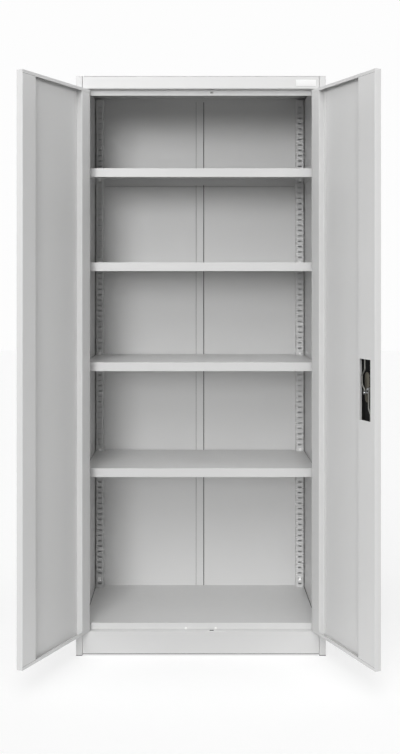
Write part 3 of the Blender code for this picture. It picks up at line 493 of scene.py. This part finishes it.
def shelf_rear_shadow_strips():
    """Painted shadow lines under the rear edges of the shelves above eye level."""
    for shelf in SHELVES_SEEN_FROM_BELOW:
        low, high = SHELVES[shelf]
        under = low.z - LINE_GAP
        painted_shade_strip(shelf + "_rear_painted_shadow",
             (-SHELF_REAR_LINE_X, high.y + SHELF_REAR_LINE_Y[0], under - SHELF_REAR_LINE_HEIGHT),
             (SHELF_REAR_LINE_X, high.y + SHELF_REAR_LINE_Y[1], under))


def wall_shadow_strips():
    """Painted shadow lines in the gaps where the floor panel and the shelves meet the inner walls."""
    end = INNER_WALL_X - LINE_GAP
    foot = FLOOR_TOP + LINE_GAP
    for side, where in SIDES.items():
        side_painted_shade_strip("floor_seam_" + where, side, end - FLOOR_SIDE_LINE_WIDTH, end,
                  (FLOOR_SIDE_LINE_FRONT, SIDE_LINE_REAR), (foot, foot + FLOOR_SIDE_LINE_HEIGHT))
        for shelf, corners in SHELVES.items():
            top = corners[1].z
            side_painted_shade_strip(shelf + "_seam_" + where, side, end - SHELF_SIDE_LINE_WIDTH, end,
                      (SHELF_SIDE_LINE_FRONT, SIDE_LINE_REAR),
                      (top + SHELF_SIDE_LINE_Z[0], top + SHELF_SIDE_LINE_Z[1]))


def channel_shadow_strips():
    """Painted shadow lines at the open ends of the doors' channels, and along the right hinge channel."""
    front, rear = CHANNEL_LINE_Y
    for side, where in SIDES.items():
        near, far = sorted((side * CHANNEL_START, side * CHANNEL_END[side]))
        for level, z in CHANNEL_LINE_Z.items():
            painted_shade_strip(where + "_channel_" + level + "_seam", (near, front, z),
                 (far, rear, z + CHANNEL_LINE_HEIGHT), where + "_door", side)
    painted_shade_strip("right_hinge_channel_foot_seam", HINGE_CHANNEL_LINE_LOW, HINGE_CHANNEL_LINE_HIGH, "right_door", 1)


def back_cover():
    """Short plate inside the plinth space that closes the foot of the joint between the back sheets."""
    rear = BACK_FACE_Y - LINE_GAP
    low = (-COVER_HALF_WIDTH, rear - COVER_THICKNESS, COVER_Z[0])
    cover = block("back_joint_foot_cover", low, (COVER_HALF_WIDTH, rear, COVER_Z[1]))
    soften(cover, COVER_EDGE)
    settle(cover, "cabinet", "cabinet_paint")


def lock_rim():
    """Upstanding rim of the lock case, just under the window's edge."""
    rim = block("lock_case_rim", RIM_LOW, RIM_HIGH)
    before, behind = RIM_CUT_PAST
    hollow_out(rim, RIM_LOW + Vector((RIM_WALL, -before, RIM_WALL)),
               RIM_HIGH + Vector((-RIM_WALL, behind, -RIM_WALL)))
    soften(rim, RIM_EDGE)
    settle(rim, "right_door", "black_plastic", door=1, finish="case_black")


def lock_body():
    """Long cast body that the spindle turns in, lying on the dish of the case."""
    body = disc("lock_cast_body", BODY_CENTRE, BODY_RADIUS, BODY_THICKNESS, vertices=48)
    stretch_upright(body, BODY_CENTRE.z, BODY_STRETCH)
    soften(body, BODY_EDGE, 2)
    settle(body, "right_door", "zinc_steel", door=1, finish="bronzed_zinc")


def pin_heads():
    """Bright upset heads on the two crank pins of the cam."""
    for number, angle in enumerate(PIN_ANGLES, 1):
        turn = math.radians(angle)
        centre = CAM_CENTRE + CRANK_ARM * Vector((math.cos(turn), 0.0, math.sin(turn)))
        head = disc("crank_pin_head_%d" % number, centre, PIN_HEAD_RADIUS, PIN_HEAD_THICKNESS, vertices=32)
        soften(head, PIN_HEAD_EDGE)
        settle(head, "turn_handle", "zinc_steel", door=1)


def rod_cup():
    """Cup under the plinth's slot, open at the top, that takes the lower rod's tip."""
    cup = block("lower_rod_cup", CUP_LOW, CUP_HIGH)
    hollow_out(cup, CUP_LOW + Vector((CUP_WALL, CUP_WALL, CUP_WALL)),
               CUP_HIGH + Vector((-CUP_WALL, -CUP_WALL, CUP_CUT_PAST)))
    soften(cup, CUP_EDGE)
    settle(cup, "cabinet", "foot_plastic", finish="case_black")


# studio
def studio_floor():
    """Pale ground that stays as bright as the backdrop where the camera sees it."""
    bpy.ops.object.select_all(action="DESELECT")
    bpy.ops.mesh.primitive_circle_add(vertices=96, radius=GROUND_RADIUS, fill_type="NGON",
                                      location=(0.0, 0.0, 0.0))
    floor = bpy.context.active_object
    floor.name = "studio_floor"
    material, tree, shader = new_material("pale_floor")
    shader.inputs["Base Color"].default_value = (GROUND_GREY, GROUND_GREY, GROUND_GREY, 1.0)
    shader.inputs["Roughness"].default_value = GROUND_ROUGHNESS
    shader.inputs["Specular IOR Level"].default_value = 0.0
    shader.inputs["Emission Color"].default_value = WHITE
    glow = add_math(tree, "MULTIPLY", seen_or_mirrored(tree), GROUND_SEEN)
    tree.links.new(glow, shader.inputs["Emission Strength"])
    floor.data.materials.append(material)


def studio_world():
    """White surroundings, which light the cabinet only faintly."""
    world = bpy.data.worlds.new("studio")
    bpy.context.scene.world = world
    world.use_nodes = True
    tree = world.node_tree
    background = tree.nodes["Background"]
    background.inputs["Color"].default_value = WHITE
    strength = add_range(tree, seen_or_mirrored(tree), 0.0, 1.0, WORLD_LIGHT, WORLD_SEEN)
    tree.links.new(strength, background.inputs["Strength"])


def soft_sun(name, azimuth, elevation, strength, width):
    lamp = bpy.data.lights.new(name, "SUN")
    lamp.energy = strength
    lamp.angle = math.radians(width)
    obj = bpy.data.objects.new(name, lamp)
    bpy.context.scene.collection.objects.link(obj)
    side, up = math.radians(azimuth), math.radians(elevation)
    come_from = Vector((math.sin(side) * math.cos(up), -math.cos(side) * math.cos(up), math.sin(up)))
    obj.rotation_mode = "QUATERNION"
    obj.rotation_quaternion = come_from.to_track_quat("Z", "Y")
    obj.location = come_from * LAMP_DISTANCE


def studio_camera():
    data = bpy.data.cameras.new("photo_camera")
    data.lens = LENS_MM
    data.sensor_width = SENSOR_MM
    data.shift_x, data.shift_y = LENS_SHIFT
    camera = bpy.data.objects.new("photo_camera", data)
    camera.location = BASE_SHIFT + CAMERA_PLACE
    camera.rotation_euler = (math.radians(90.0), 0.0, 0.0)
    bpy.context.scene.collection.objects.link(camera)
    bpy.context.scene.camera = camera


dress_frame()
maker_plate()
# painted shadow: thin near-black strips in joints and gaps, where shade falls
back_strip_shadow_strips()
plinth_shadow_strip()
shelf_rear_shadow_strips()
wall_shadow_strips()
channel_shadow_strips()
back_cover()
lock_rim()
lock_body()
pin_heads()
rod_cup()
studio_floor()
studio_world()
for lamp_name, lamp_values in LAMPS.items():
    soft_sun(lamp_name, *lamp_values)
studio_camera()
bpy.context.scene.view_settings.view_transform = "Standard"
